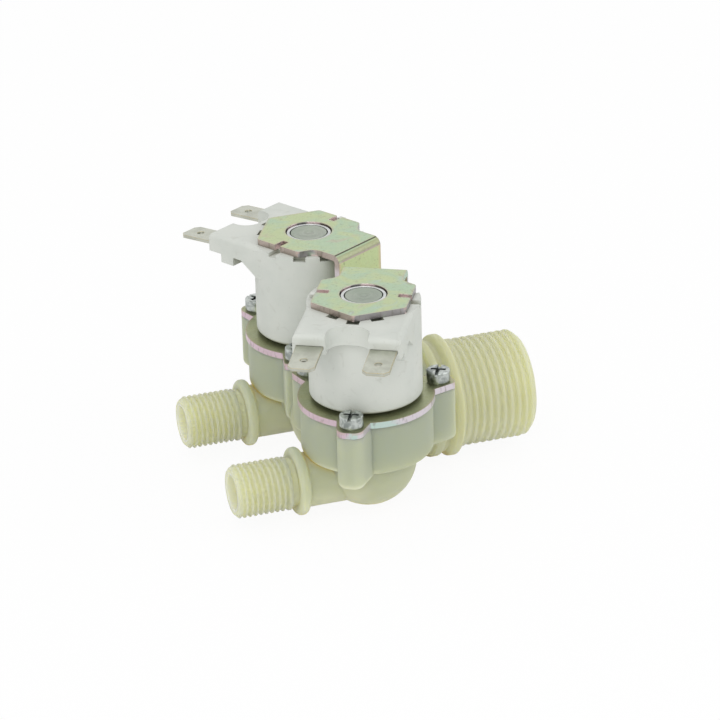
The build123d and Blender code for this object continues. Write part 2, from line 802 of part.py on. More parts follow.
def make_spring(unit):
    """Return spring between the plunger's pocket and the tube's closed end."""
    low = plunger_top - spring_pocket_depth + spring_wire / 2
    high = tube_inner_top - spring_wire / 2
    with BuildPart() as spring:
        with BuildLine(unit.offset(low)) as coil:
            Helix(pitch=(high - low) / spring_turns, height=high - low, radius=spring_r)
        with BuildSketch(Plane(origin=coil.line @ 0, z_dir=coil.line % 0)):
            RegularPolygon(radius=spring_wire / 2, side_count=6)
        sweep(path=coil.line, is_frenet=True)
    return spring.part


def make_diaphragm(unit):
    """Rubber diaphragm: clamped bead, thin web that slopes down, and the pad that closes the valve seat."""
    bead_foot = -diaphragm_seat_depth
    bead_top = under_plate - flange_thickness
    web_out = bead_foot + web_rise
    with BuildPart() as diaphragm:
        with BuildSketch(section(unit)):
            with BuildLine():
                Polyline(
                    (insert_stem_r + fit_gap, seat_level),
                    (pad_r, seat_level),
                    (pad_r, pad_top - web_thickness),
                    (bead_inner_r, web_out - web_thickness / 2),
                    (bead_inner_r, bead_foot),
                    (diaphragm_seat_r - fit_gap, bead_foot),
                    (diaphragm_seat_r - fit_gap, bead_top),
                    (bead_inner_r, bead_top),
                    (bead_inner_r, web_out + web_thickness / 2),
                    (pad_r, pad_top),
                    (insert_stem_r + fit_gap, pad_top),
                    close=True,
                )
            make_face()
        revolve(axis=coil_axis(unit))
        with BuildSketch(unit):
            with Locations((-pad_r - bleed_hole_gap, 0)):
                Circle(bleed_hole_r)
        extrude(amount=-valve_seat_depth, mode=Mode.SUBTRACT)
    return diaphragm.part


def make_diaphragm_insert(unit):
    """Plastic centre of the diaphragm, with the pilot hole that the plunger closes."""
    with BuildPart() as insert:
        with BuildSketch(section(unit)):
            with BuildLine():
                Polyline(
                    (pilot_r, seat_level - insert_foot_thickness),
                    (insert_foot_r, seat_level - insert_foot_thickness),
                    (insert_foot_r, seat_level),
                    (insert_stem_r, seat_level),
                    (insert_stem_r, pad_top),
                    (insert_top_r, pad_top),
                    (insert_top_r, pad_top + insert_top_thickness),
                    (insert_nub_r, pad_top + insert_top_thickness),
                    (insert_nub_r, pilot_level),
                    (pilot_r, pilot_level),
                    close=True,
                )
            make_face()
        revolve(axis=coil_axis(unit))
    return insert.part


def make_screws(unit):
    """Three self-tapping screws with a cross recess and a slot in their heads."""
    head_top = screw_neck_height + screw_head_height
    with BuildPart() as screws:
        with BuildSketch(unit.offset(-screw_reach)):
            with Locations(*screw_places()):
                Circle(screw_shank_r)
        extrude(amount=screw_reach)
        with BuildSketch(unit):
            with Locations(*screw_places()):
                Circle(screw_neck_r)
        extrude(amount=screw_neck_height)
        with BuildSketch(unit.offset(screw_neck_height)):
            with Locations(*screw_places()):
                Circle(screw_head_r)
        extrude(amount=screw_head_height)
        fillet(screws.edges().group_by(Axis.Z)[-1], radius=head_edge_r)
        with BuildSketch(unit.offset(head_top)):
            with Locations(*screw_places()):
                Rectangle(2 * screw_head_r, slot_width)
        extrude(amount=-slot_depth, mode=Mode.SUBTRACT)
        with BuildSketch(unit.offset(head_top)):
            with Locations(*screw_places()):
                Rectangle(cross_length, cross_width)
                Rectangle(cross_width, cross_length)
        extrude(amount=-cross_depth, mode=Mode.SUBTRACT)
    return screws.part


def make_strainer():
    """Filter basket in the inlet: a rim, a slotted cone and a closed tip."""
    depth = strainer_seat_end - inlet_mouth_depth
    with BuildPart() as strainer:
        with BuildSketch(Plane.XZ):
            with BuildLine():
                Polyline(
                    (-inlet_mouth_depth, strainer_rim_r),
                    (-inlet_mouth_depth - strainer_rim, strainer_rim_r),
                    (-inlet_mouth_depth - strainer_rim, strainer_mouth_r + strainer_wall),
                    (-inlet_mouth_depth - depth, strainer_tip_r + strainer_wall),
                    (-inlet_mouth_depth - depth, 0),
                    (-inlet_mouth_depth - depth + strainer_wall, 0),
                    (-inlet_mouth_depth - depth + strainer_wall, strainer_tip_r),
                    (-inlet_mouth_depth, strainer_mouth_r),
                    close=True,
                )
            make_face()
        revolve(axis=Axis.X)
        slot_length = strainer_slot_end - strainer_slot_start
        slot_middle = -inlet_mouth_depth - (strainer_slot_start + strainer_slot_end) / 2
        for index in range(strainer_slots // 2):
            slot_plane = Plane.XY.rotated((index * 360 / strainer_slots, 0, 0))
            with BuildSketch(slot_plane):
                with Locations((slot_middle, 0)):
                    Rectangle(slot_length, strainer_slot_width)
            extrude(amount=strainer_seat_r, both=True, mode=Mode.SUBTRACT)
    return strainer.part


def save(part, name):
    part.label = name
    export_step(part, f"parts/{name}.step")


os.makedirs("parts", exist_ok=True)
save(make_valve_body(), "valve_body")
save(make_strainer(), "inlet_strainer")
for name, side in (("front", -1), ("rear", 1)):
    unit = unit_plane(side)
    save(make_yoke(unit), f"{name}_yoke")
    save(make_coil_housing(unit), f"{name}_coil_housing")
    save(make_terminal(unit, -1), f"{name}_terminal_right")
    save(make_terminal(unit, 1), f"{name}_terminal_left")
    save(make_bobbin(unit), f"{name}_bobbin")
    save(make_winding(unit), f"{name}_winding")
    save(make_sleeve(unit, sleeve_top - upper_sleeve_length, upper_sleeve_length), f"{name}_upper_sleeve")
    save(make_sleeve(unit, under_plate + fit_gap, lower_sleeve_length), f"{name}_lower_sleeve")
    save(make_guide_tube(unit), f"{name}_guide_tube")
    save(make_plunger(unit), f"{name}_plunger")
    save(make_plunger_seal(unit), f"{name}_plunger_seal")
    save(make_spring(unit), f"{name}_spring")
    save(make_diaphragm(unit), f"{name}_diaphragm")
    save(make_diaphragm_insert(unit), f"{name}_diaphragm_insert")
    save(make_screws(unit), f"{name}_screws")
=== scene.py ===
"""Looks of the double solenoid valve: moulded threads, softened edges, finishes, studio and camera."""

import logging
import math
from collections.abc import Iterator
from contextlib import contextmanager
from dataclasses import dataclass
from enum import Enum, IntEnum

import bpy
from mathutils import Matrix, Vector


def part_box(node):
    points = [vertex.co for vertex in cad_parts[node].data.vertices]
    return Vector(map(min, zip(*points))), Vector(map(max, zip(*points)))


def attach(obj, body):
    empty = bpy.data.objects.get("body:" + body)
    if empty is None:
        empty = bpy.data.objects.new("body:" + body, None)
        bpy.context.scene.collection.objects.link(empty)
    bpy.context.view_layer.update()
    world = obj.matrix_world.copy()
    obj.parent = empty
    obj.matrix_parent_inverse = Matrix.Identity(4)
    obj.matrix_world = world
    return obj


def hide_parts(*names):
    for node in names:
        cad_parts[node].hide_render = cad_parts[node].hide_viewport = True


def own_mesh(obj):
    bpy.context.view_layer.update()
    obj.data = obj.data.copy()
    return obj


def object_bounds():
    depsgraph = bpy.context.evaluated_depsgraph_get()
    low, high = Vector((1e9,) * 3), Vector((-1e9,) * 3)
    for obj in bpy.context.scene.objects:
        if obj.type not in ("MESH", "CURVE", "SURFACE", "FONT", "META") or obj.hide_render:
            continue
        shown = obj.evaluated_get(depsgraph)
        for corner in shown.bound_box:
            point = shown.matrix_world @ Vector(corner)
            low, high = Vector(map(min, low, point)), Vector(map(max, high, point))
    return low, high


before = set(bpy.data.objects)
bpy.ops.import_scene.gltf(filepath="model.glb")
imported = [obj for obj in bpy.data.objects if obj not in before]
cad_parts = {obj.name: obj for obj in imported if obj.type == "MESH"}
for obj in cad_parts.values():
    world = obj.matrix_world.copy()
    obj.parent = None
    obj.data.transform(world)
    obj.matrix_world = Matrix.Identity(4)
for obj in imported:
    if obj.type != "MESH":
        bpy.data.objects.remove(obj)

log = logging.getLogger("double_solenoid_valve")
MM = 0.001
CAD_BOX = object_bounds()
Socket = bpy.types.NodeSocket
Piece = bpy.types.Object


def srgb(red: int, green: int, blue: int) -> tuple[float, float, float, float]:
    """Turn a colour as a screen shows it into the linear values that a shader takes.

    Args:
        red: Red, from 0 to 255.
        green: Green, from 0 to 255.
        blue: Blue, from 0 to 255.

    Returns:
        Linear red, green and blue, and full alpha.
    """
    linear = [((part / 255 + 0.055) / 1.055) ** 2.4 for part in (red, green, blue)]
    return (*linear, 1.0)


class Side(Enum):
    """The two solenoid units, with the sign of their side of the inlet's axis."""

    FRONT = -1
    REAR = 1

    @property
    def label(self) -> str:
        """The word that the unit's pieces start with."""
        return self.name.lower()


class Axis(IntEnum):
    """An axis of the frame, as its place in a point: X along the pipes, Z up."""

    X = 0
    Y = 1
    Z = 2


class Wiring:
    """A node tree, with short calls that add a node and return its output."""

    def __init__(self, tree: bpy.types.NodeTree) -> None:
        """Keep the tree to work on."""
        self.tree = tree

    def add(self, kind: str, **settings: object) -> bpy.types.Node:
        """Add one node.

        Args:
            kind: Blender's name of the node type.
            **settings: Properties of the node.

        Returns:
            The new node.
        """
        node = self.tree.nodes.new(kind)
        for key, value in settings.items():
            setattr(node, key, value)
        return node

    def feed(self, socket: Socket, value: object) -> None:
        """Give a socket its value: another node's output, or a constant."""
        if isinstance(value, Socket):
            self.tree.links.new(value, socket)
        else:
            socket.default_value = value

    def maths(self, operation: str, first: object, second: object = 0.0) -> Socket:
        """Work out one sum of two values.

        Args:
            operation: Blender's name of the sum.
            first: First value or output.
            second: Second value or output.

        Returns:
            The result.
        """
        node = self.add("ShaderNodeMath", operation=operation)
        self.feed(node.inputs[0], first)
        self.feed(node.inputs[1], second)
        return node.outputs[0]

    def times(self, first: object, second: object) -> Socket:
        """Multiply two values: of two masks, what lies in both."""
        return self.maths("MULTIPLY", first, second)

    def either(self, first: object, second: object) -> Socket:
        """Take the larger of two values: of two masks, what lies in one or the other."""
        return self.maths("MAXIMUM", first, second)

    def seen(self) -> Socket:
        """Tell rays that show a surface, directly or in gloss and glass, from rays that only light."""
        path = self.add("ShaderNodeLightPath").outputs
        return self.either(self.either(path["Is Camera Ray"], path["Is Glossy Ray"]),
                           path["Is Transmission Ray"])


class Nodes(Wiring):
    """A material's nodes.

    MIX_FIRST, MIX_SECOND and MIX_RESULT are the mix node's colour sockets, counted from 0.
    """

    BEVEL_SAMPLES = 6
    HOLLOW_SAMPLES = 12
    MIX_FIRST = 6
    MIX_SECOND = 7
    MIX_RESULT = 2

    def __init__(self, name: str) -> None:
        """Start a material of that name with its shader."""
        self.material = bpy.data.materials.new(name)
        self.material.use_nodes = True
        super().__init__(self.material.node_tree)
        self.shader = self.tree.nodes["Principled BSDF"]
        self.place = self.add("ShaderNodeTexCoord").outputs["Object"]

    def span(self, value: object, low: float, high: float, at_low: float = 0.0,
             at_high: float = 1.0) -> Socket:
        """Spread a value between two limits, smoothly and clamped.

        Args:
            value: The output to spread.
            low: Where the result starts to change.
            high: Where it stops changing.
            at_low: The result up to low.
            at_high: The result from high on.

        Returns:
            The spread value.
        """
        node = self.add("ShaderNodeMapRange", interpolation_type="SMOOTHSTEP")
        for key, number in (("From Min", low), ("From Max", high), ("To Min", at_low), ("To Max", at_high)):
            node.inputs[key].default_value = number
        self.feed(node.inputs["Value"], value)
        return node.outputs["Result"]

    def below(self, value: object, edge: float, blur: float) -> Socket:
        """Mark where a value lies below an edge: 1 there and 0 past it. The change is two blurs wide."""
        return self.span(value, edge - blur, edge + blur, 1.0, 0.0)

    def above(self, value: object, edge: float, blur: float) -> Socket:
        """Mark where a value lies above an edge, as below() does for the other side."""
        return self.span(value, edge - blur, edge + blur)

    def noise(self, size: float, detail: float = 3.0, warp: float = 0.0,
              stretch: tuple[float, float, float] = (1.0, 1.0, 1.0)) -> Socket:
        """Lay an uneven pattern over the piece.

        Args:
            size: Size of a patch in metres.
            detail: How many finer layers it has.
            warp: How much it is twisted.
            stretch: Scale along each axis.

        Returns:
            The pattern, about 0.3 to 0.7.
        """
        mapping = self.add("ShaderNodeMapping")
        mapping.inputs["Scale"].default_value = stretch
        self.feed(mapping.inputs["Vector"], self.place)
        node = self.add("ShaderNodeTexNoise")
        node.inputs["Scale"].default_value = 1 / size
        node.inputs["Detail"].default_value = detail
        node.inputs["Distortion"].default_value = warp
        self.feed(node.inputs["Vector"], mapping.outputs["Vector"])
        return node.outputs["Fac"]

    def blend(self, share: object, first: object, second: object) -> Socket:
        """Blend two colours.

        Args:
            share: Share of the second colour.
            first: First colour or output.
            second: Second colour or output.

        Returns:
            The blended colour.
        """
        node = self.add("ShaderNodeMix", data_type="RGBA")
        self.feed(node.inputs["Factor"], share)
        self.feed(node.inputs[self.MIX_FIRST], first)
        self.feed(node.inputs[self.MIX_SECOND], second)
        return node.outputs[self.MIX_RESULT]

    def lay(self, tint: object, colour: object, pattern: object, low: float, high: float,
            share: float = 1.0) -> Socket:
        """Lay a colour over a tint by a pattern: nothing up to low, and its full share from high on."""
        return self.blend(self.span(pattern, low, high, 0.0, share), tint, colour)

    def relief(self, height: object, depth: float, normal: object = None) -> Socket:
        """Raise and sink the surface by a pattern.

        Args:
            height: The pattern.
            depth: Height of the relief in metres.
            normal: Surface direction to start from.

        Returns:
            The surface direction for the shader.
        """
        node = self.add("ShaderNodeBump")
        node.inputs["Strength"].default_value = 1.0
        node.inputs["Distance"].default_value = depth
        self.feed(node.inputs["Height"], height)
        if normal is not None:
            self.feed(node.inputs["Normal"], normal)
        return node.outputs["Normal"]

    def soft_edge(self, radius: object) -> Socket:
        """Round the light on the piece's edges.

        Args:
            radius: Radius of the rounding in metres, or an output that gives it.

        Returns:
            The rounded surface direction.
        """
        node = self.add("ShaderNodeBevel", samples=self.BEVEL_SAMPLES)
        self.feed(node.inputs["Radius"], radius)
        return node.outputs["Normal"]

    def near_edge(self, radius: float) -> Socket:
        """Find the stretch beside each edge, from 0 on open faces to about 0.3 at an edge."""
        geometry = self.add("ShaderNodeNewGeometry")
        product = self.add("ShaderNodeVectorMath", operation="DOT_PRODUCT")
        self.feed(product.inputs[0], self.soft_edge(radius))
        self.feed(product.inputs[1], geometry.outputs["Normal"])
        return self.maths("SUBTRACT", 1.0, product.outputs["Value"])

    def hollow(self, reach: float, outward: object = None, inside: bool = False) -> Socket:
        """Find crevices: 1 in a tight corner, 0 on open faces.

        Args:
            reach: How far from the corner it is felt, in metres.
            outward: The direction to look out along, where it isn't the surface's own.
            inside: Look into the piece instead, which finds thin walls and outer edges.

        Returns:
            How enclosed the surface is.
        """
        node = self.add("ShaderNodeAmbientOcclusion", samples=self.HOLLOW_SAMPLES, inside=inside)
        node.inputs["Distance"].default_value = reach
        if outward is not None:
            self.feed(node.inputs["Normal"], outward)
        return self.maths("SUBTRACT", 1.0, node.outputs["AO"])

    def facing(self, axis: Axis) -> Socket:
        """Say how much the surface faces along an axis, from -1 to 1, whatever the view."""
        geometry = self.add("ShaderNodeNewGeometry")
        split = self.add("ShaderNodeSeparateXYZ")
        self.feed(split.inputs[0], geometry.outputs["Normal"])
        return split.outputs[axis]

    def away_from(self, line: dict[Axis, object]) -> tuple[Socket, Socket]:
        """Measure straight away from a line that runs along one axis.

        Args:
            line: Where the line is, on each of the two axes across it.

        Returns:
            The direction away from the line, and the distance in metres.
        """
        join = self.add("ShaderNodeCombineXYZ")
        for axis, place in line.items():
            self.feed(join.inputs[axis], self.maths("SUBTRACT", self.along(axis), place))
        length = self.add("ShaderNodeVectorMath", operation="LENGTH")
        unit = self.add("ShaderNodeVectorMath", operation="NORMALIZE")
        for node in (length, unit):
            self.feed(node.inputs[0], join.outputs["Vector"])
        return unit.outputs["Vector"], length.outputs["Value"]

    def along(self, axis: Axis) -> Socket:
        """Give a point's place along one axis, in metres."""
        split = self.add("ShaderNodeSeparateXYZ")
        self.feed(split.inputs[0], self.place)
        return split.outputs[axis]

    def finish(self, **sockets: object) -> bpy.types.Material:
        """Set the shader's sockets, named in words joined by underscores, and give the material."""
        for key, value in sockets.items():
            self.feed(self.shader.inputs[key.replace("_", " ")], value)
        return self.material


@dataclass(frozen=True)
class NaturalPlastic:
    """Cloudy uncoloured moulding plastic: light enters it, and thick places look warmer.

    Places are along the pipes, from 0 at the inlet's mouth down to the outlets' ends. A reach says how far
    from a corner the light still changes.
    """

    name: str = "natural_plastic"
    thick_tint: tuple = srgb(199, 199, 161)
    thin_tint: tuple = srgb(206, 211, 184)
    cloud_tint: tuple = srgb(207, 208, 174)
    chamber_shade_tint: tuple = srgb(172, 179, 158)
    crevice_tint: tuple = srgb(222, 204, 116)
    painted_glow_tint: tuple = srgb(236, 237, 205)
    groove_light_tint: tuple = srgb(222, 223, 180)
    glow_depth: float = 6 * MM
    glow_by_colour: tuple = (1.0, 0.95, 0.6)
    cloud_size: float = 14 * MM
    grain_size: float = 0.6 * MM
    grain_depth: float = 0.012 * MM
    edge: float = 0.6 * MM
    thin_wall: float = 4 * MM
    outlet_end: float = -79.7 * MM
    outlet_paling: float = 5.2 * MM
    inlet_paling: float = 4 * MM
    outlet_threads: float = -65 * MM
    outlet_necks: float = -49.5 * MM
    inlet_thread: float = -18 * MM
    outlet_bore_r: float = 4.8 * MM
    inlet_mouth_r: float = 11.9 * MM
    chamber_core_r: float = 16.5 * MM
    chamber_r: float = 21.5 * MM
    chamber_end_r: float = 23.5 * MM
    chamber_depth: float = 11 * MM
    shade_reach: float = 30 * MM
    groove_reach: float = 1.6 * MM
    crevice_reach: float = 5.5 * MM

    def material(self) -> bpy.types.Material:
        """Build the finish."""
        nodes = Nodes(self.name)
        place = nodes.along(Axis.X)
        outlets = nodes.below(place, self.outlet_threads, 0.5 * MM)
        inlet = nodes.above(place, self.inlet_thread, 0.5 * MM)
        threads = nodes.either(outlets, inlet)
        plain = nodes.maths("SUBTRACT", 1.0, threads)
        outward, gap = self.from_pipes(nodes)
        bore = nodes.times(outlets, nodes.below(gap, self.outlet_bore_r, 0.2 * MM))
        mouth = nodes.times(inlet, nodes.below(gap, self.inlet_mouth_r, 0.1 * MM))
        outside = nodes.maths("SUBTRACT", threads, nodes.either(bore, mouth))
        clouds = nodes.noise(self.cloud_size, 4.0, 0.6)
        tint = self.wall_tint(nodes, clouds, plain)
        away = nodes.either(self.painted_glow_places(nodes, inlet), bore)
        # painted light: deep hollows, the pipes' undersides and the outlets' bores are brightened, standing
        # for light that comes through the cloudy plastic
        tint = nodes.blend(away, tint, self.painted_glow_tint)
        # painted light: the threads' grooves are brightened to cancel the shade in them
        painted_groove_light = nodes.span(nodes.hollow(self.groove_reach, outward), 0.03, 0.34, 0.0, 0.85)
        tint = nodes.blend(nodes.times(painted_groove_light, outside), tint, self.groove_light_tint)
        crevice = nodes.span(nodes.hollow(self.crevice_reach), 0.42, 0.85, 0.0, 0.85)
        tint = nodes.blend(nodes.times(crevice, plain), tint, self.crevice_tint)
        grain = nodes.noise(self.grain_size, 2.0)
        normal = self.lit_direction(nodes, outside, outward)
        nodes.shader.subsurface_method = "RANDOM_WALK"
        nodes.shader.inputs["Subsurface Radius"].default_value = self.glow_by_colour
        return nodes.finish(
            Base_Color=tint,
            Subsurface_Weight=1.0,
            Subsurface_Scale=self.glow_depth,
            Roughness=nodes.span(clouds, 0.3, 0.7, 0.5, 0.6),
            Specular_IOR_Level=0.3,
            Normal=nodes.relief(grain, self.grain_depth, normal),
        )

    def wall_tint(self, nodes: Nodes, clouds: Socket, plain: Socket) -> Socket:
        """Colour the walls by their thickness and their clouds, and darken the chamber walls with painted
        shade for the yoke's shadow and the metal and rubber behind them.

        Args:
            nodes: The material's nodes.
            clouds: The pattern of the clouds.
            plain: Where there is no thread.

        Returns:
            The colour.
        """
        place = nodes.along(Axis.X)
        paled = self.outlet_end + self.outlet_paling
        outlet_ends = nodes.span(place, self.outlet_end, paled, 0.8, 0.0)
        inlet_end = nodes.span(place, -self.inlet_paling, 0.0, 0.0, 0.5)
        ends = nodes.either(outlet_ends, inlet_end)
        thin = nodes.times(nodes.span(nodes.hollow(self.thin_wall, inside=True), 0.25, 0.8), plain)
        tint = nodes.blend(nodes.either(thin, ends), self.thick_tint, self.thin_tint)
        tint = nodes.lay(tint, self.cloud_tint, clouds, 0.3, 0.7, 0.25)
        # painted shade on the chamber walls, under the yoke and over the dark pieces inside
        return nodes.blend(self.painted_chamber_shade(nodes), tint, self.chamber_shade_tint)

    def painted_glow_places(self, nodes: Nodes, inlet: Socket) -> Socket:
        """Find the shaded places that get painted light, standing for light that comes through the cloudy
        plastic: deep ones, and the pipes' undersides.

        Args:
            nodes: The material's nodes.
            inlet: Where the inlet's thread is.

        Returns:
            How much painted light a place gets.
        """
        place = nodes.along(Axis.X)
        pipes = nodes.either(nodes.below(place, self.outlet_necks, 2.5 * MM), inlet)
        under = nodes.times(nodes.span(nodes.facing(Axis.Z), -0.8, 0.15, 0.6, 0.0), pipes)
        deep = nodes.span(nodes.hollow(self.shade_reach), 0.45, 0.95, 0.0, 0.6)
        return nodes.either(deep, under)

    def lit_direction(self, nodes: Nodes, outside: Socket, outward: Socket) -> Socket:
        """Light the threads almost as a smooth pipe, because the cloudy plastic blurs them.

        Args:
            nodes: The material's nodes.
            outside: Where the threads' outer faces are.
            outward: The direction straight out of the pipe.

        Returns:
            The surface direction to light.
        """
        place = nodes.along(Axis.X)
        between = nodes.times(nodes.above(place, self.outlet_end + 0.2 * MM, 0.2 * MM),
                              nodes.below(place, -1 * MM, 0.2 * MM))
        even = nodes.times(outside, nodes.times(between, 0.97))
        return nodes.blend(even, nodes.soft_edge(self.edge), outward)

    @staticmethod
    def from_pipes(nodes: Nodes) -> tuple[Socket, Socket]:
        """Measure from the middle line of the nearest pipe: the inlet's, or one outlet's.

        Args:
            nodes: The material's nodes.

        Returns:
            The direction straight out of the pipe, and the distance in metres.
        """
        pipes = ValveBody()
        far = nodes.below(nodes.along(Axis.X), pipes.parting_x, 0.1 * MM)
        side = nodes.span(nodes.along(Axis.Y), -1 * MM, 1 * MM, -pipes.outlet_y, pipes.outlet_y)
        return nodes.away_from({Axis.Y: nodes.times(far, side), Axis.Z: nodes.times(far, pipes.outlet_z)})

    def painted_chamber_shade(self, nodes: Nodes) -> Socket:
        """Find the chambers' walls, which get painted shade for the yoke's shadow and the dark rubber and
        steel behind the cloudy wall.

        Args:
            nodes: The material's nodes.

        Returns:
            How much painted shade a wall gets.
        """
        rings = []
        for side in Side:
            low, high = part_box(f"{side.label}_winding")
            middle = (low + high) / 2
            gap = nodes.away_from({Axis.X: middle.x, Axis.Y: middle.y})[1]
            ring = nodes.span(gap, self.chamber_core_r, self.chamber_r, 1.0, 0.8)
            rings.append(nodes.times(ring, nodes.below(gap, self.chamber_end_r, 1 * MM)))
        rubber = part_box("front_diaphragm")[0].z
        height = nodes.span(nodes.along(Axis.Z), rubber - self.chamber_depth, rubber + 1 * MM, 0.5, 1.0)
        return nodes.times(nodes.either(*rings), height)


@dataclass(frozen=True)
class MattPlastic:
    """Opaque moulding plastic with a fine grain."""

    name: str
    tint: tuple
    shade: tuple
    roughness: float = 0.55
    cloud_size: float = 9 * MM
    grain_size: float = 0.4 * MM
    grain_depth: float = 0.02 * MM
    edge: float = 0.12 * MM
    smudge: tuple | None = None
    smudge_size: float = 2.8 * MM
    speck_size: float = 0.6 * MM
    corner_shade_tint: tuple | None = None
    corner_shade_reach: float = 14 * MM

    def material(self) -> bpy.types.Material:
        """Build the finish."""
        nodes = Nodes(self.name)
        clouds = nodes.noise(self.cloud_size, 3.0)
        tint = nodes.lay(self.tint, self.shade, clouds, 0.35, 0.65)
        if self.smudge is not None:
            tint = nodes.lay(tint, self.smudge, nodes.noise(self.smudge_size, 4.0, 0.8), 0.58, 0.74, 0.3)
            tint = nodes.lay(tint, self.smudge, nodes.noise(self.speck_size, 2.0), 0.7, 0.78, 0.5)
        # painted shade: corners, pockets and crevices are darkened
        if self.corner_shade_tint is not None:
            tint = nodes.lay(tint, self.corner_shade_tint, nodes.hollow(self.corner_shade_reach), 0.3, 0.85, 0.75)
        grain = nodes.noise(self.grain_size, 3.0)
        normal = nodes.relief(grain, self.grain_depth, nodes.soft_edge(self.edge))
        return nodes.finish(
            Base_Color=tint,
            Roughness=nodes.span(clouds, 0.3, 0.7, self.roughness - 0.06, self.roughness + 0.06),
            Normal=normal,
        )


@dataclass(frozen=True)
class YellowZinc:
    """Zinc plating with a yellow-green rainbow film, lilac and brown where the sheet was cut."""

    name: str = "yellow_zinc"
    film: tuple = srgb(187, 199, 156)
    mint: tuple = srgb(172, 196, 172)
    blue: tuple = srgb(176, 194, 198)
    pink: tuple = srgb(196, 172, 160)
    olive: tuple = srgb(157, 159, 122)
    strap_tint: tuple = srgb(196, 209, 156)
    strap_side: tuple = srgb(214, 184, 152)
    smudge: tuple = srgb(160, 150, 134)
    painted_dark_line: tuple = srgb(72, 72, 56)
    speck: tuple = srgb(112, 108, 92)
    cut_lilac: tuple = srgb(208, 186, 196)
    cut_cyan: tuple = srgb(190, 210, 202)
    cut_brown: tuple = srgb(177, 164, 155)
    pale_cut_and_highlight: tuple = srgb(214, 206, 212)
    cut_grey: tuple = srgb(164, 160, 162)
    slit_light_tint: tuple = srgb(244, 222, 222)
    sheet: float = 1.5 * MM
    edge: float = 0.1 * MM
    patch_size: float = 8 * MM
    drift_size: float = 4.5 * MM
    smudge_size: float = 2.2 * MM
    speck_size: float = 0.7 * MM
    cut_drift_size: float = 6 * MM
    cut_streak_size: float = 0.8 * MM
    grain_size: float = 0.5 * MM
    grain_depth: float = 0.012 * MM
    mark_size: float = 1.1 * MM
    mark_depth: float = 0.03 * MM
    strap_side_width: float = 2.2 * MM
    rim_width: float = 1.2 * MM

    def material(self) -> bpy.types.Material:
        """Build the finish."""
        nodes = Nodes(self.name)
        low, high = (corner.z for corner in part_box("front_yoke"))
        height = nodes.along(Axis.Z)
        base = nodes.below(height, low + 2 * self.sheet, 1 * MM)
        flat_on = self.strap_faces(nodes)
        between = nodes.times(nodes.above(height, low + self.sheet + 0.15 * MM, 0.15 * MM),
                              nodes.below(height, high - self.sheet - 0.3 * MM, 0.1 * MM))
        strap = nodes.times(flat_on, between)
        tint = self.film_tint(nodes, base, strap)
        level = nodes.maths("ABSOLUTE", nodes.facing(Axis.Z))
        upright = nodes.span(level, 0.3, 0.7, 1.0, 0.0)
        cut = nodes.times(upright, nodes.maths("SUBTRACT", 1.0, strap))
        tint = nodes.blend(cut, tint, self.cut_tint(nodes, base))
        # the straps' cut sides are laid pale, partly painted highlight
        beside_strap = nodes.maths("SUBTRACT", nodes.below(height, high - 3.5 * MM, 1 * MM), base)
        beside_strap = nodes.times(nodes.times(cut, beside_strap), 0.7)
        tint = nodes.blend(beside_strap, tint, self.pale_cut_and_highlight)
        # painted light: the walls of the slits are drawn lit and pale
        slit = nodes.times(flat_on, nodes.above(height, high - self.sheet - 0.1 * MM, 0.1 * MM))
        slit = nodes.times(slit, nodes.span(nodes.hollow(2 * self.sheet), 0.3, 0.5))
        tint = nodes.blend(slit, tint, self.slit_light_tint)
        # painted reflection and shade: bands and a dark line along the folds and softened edges
        tint = self.bend_reflection_tint(nodes, tint)
        grain = nodes.noise(self.grain_size, 3.0, 0.2)
        marks = nodes.noise(self.mark_size, 4.0, 0.6)
        normal = nodes.relief(grain, self.grain_depth, nodes.soft_edge(self.edge))
        return nodes.finish(
            Base_Color=tint,
            Metallic=0.85,
            Roughness=nodes.span(grain, 0.3, 0.7, 0.28, 0.5),
            Normal=nodes.relief(marks, self.mark_depth, normal),
        )

    def bend_reflection_tint(self, nodes: Nodes, tint: Socket) -> Socket:
        """Lay bands of painted reflection along the folds and softened edges, by how far the sheet has
        turned: 0 upright, 1 level. They paint the darker surroundings that curved metal reflects.

        Args:
            nodes: The material's nodes.
            tint: The colour so far.

        Returns:
            The colour with the painted bands, up to the painted dark line at a fold's top.
        """
        rise = nodes.facing(Axis.Z)
        for colour, share, start, full, fading, gone in (
            (self.pink, 0.5, 0.02, 0.08, 0.2, 0.3),
            (self.olive, 0.75, 0.2, 0.3, 0.75, 0.88),
            (self.painted_dark_line, 0.95, 0.87, 0.93, 0.985, 0.997),
        ):
            fade = nodes.span(rise, fading, gone, share, 0.0)
            tint = nodes.blend(nodes.times(nodes.span(rise, start, full), fade), tint, colour)
        return tint

    def film_tint(self, nodes: Nodes, base: Socket, strap: Socket) -> Socket:
        """Colour the sheet's faces.

        Args:
            nodes: The material's nodes.
            base: Where the base plates are.
            strap: Where the straps' faces are.

        Returns:
            The colour of the film.
        """
        patches = nodes.noise(self.patch_size, 3.0, 1.2)
        drifts = nodes.noise(self.drift_size, 3.0, 0.8, (0.6, 1.0, 1.0))
        smudges = nodes.noise(self.smudge_size, 3.0, 1.0)
        specks = nodes.noise(self.speck_size, 3.0, 0.3)
        tint = nodes.lay(self.film, self.mint, patches, 0.36, 0.62, 0.75)
        tint = nodes.lay(tint, self.blue, drifts, 0.6, 0.76, 0.5)
        tint = nodes.lay(tint, self.pink, drifts, 0.4, 0.26, 0.45)
        tint = nodes.lay(tint, self.smudge, smudges, 0.6, 0.72, 0.35)
        tint = nodes.blend(nodes.times(base, 0.85), tint, self.olive)
        tint = nodes.blend(nodes.times(strap, 0.8), tint, self.strap_tint)
        sides = nodes.span(nodes.near_edge(self.strap_side_width), 0.004, 0.12, 0.0, 0.7)
        tint = nodes.blend(nodes.times(strap, sides), tint, self.strap_side)
        tint = nodes.lay(tint, self.pink, nodes.near_edge(self.rim_width), 0.01, 0.14, 0.45)
        return nodes.lay(tint, self.speck, specks, 0.6, 0.72, 0.35)

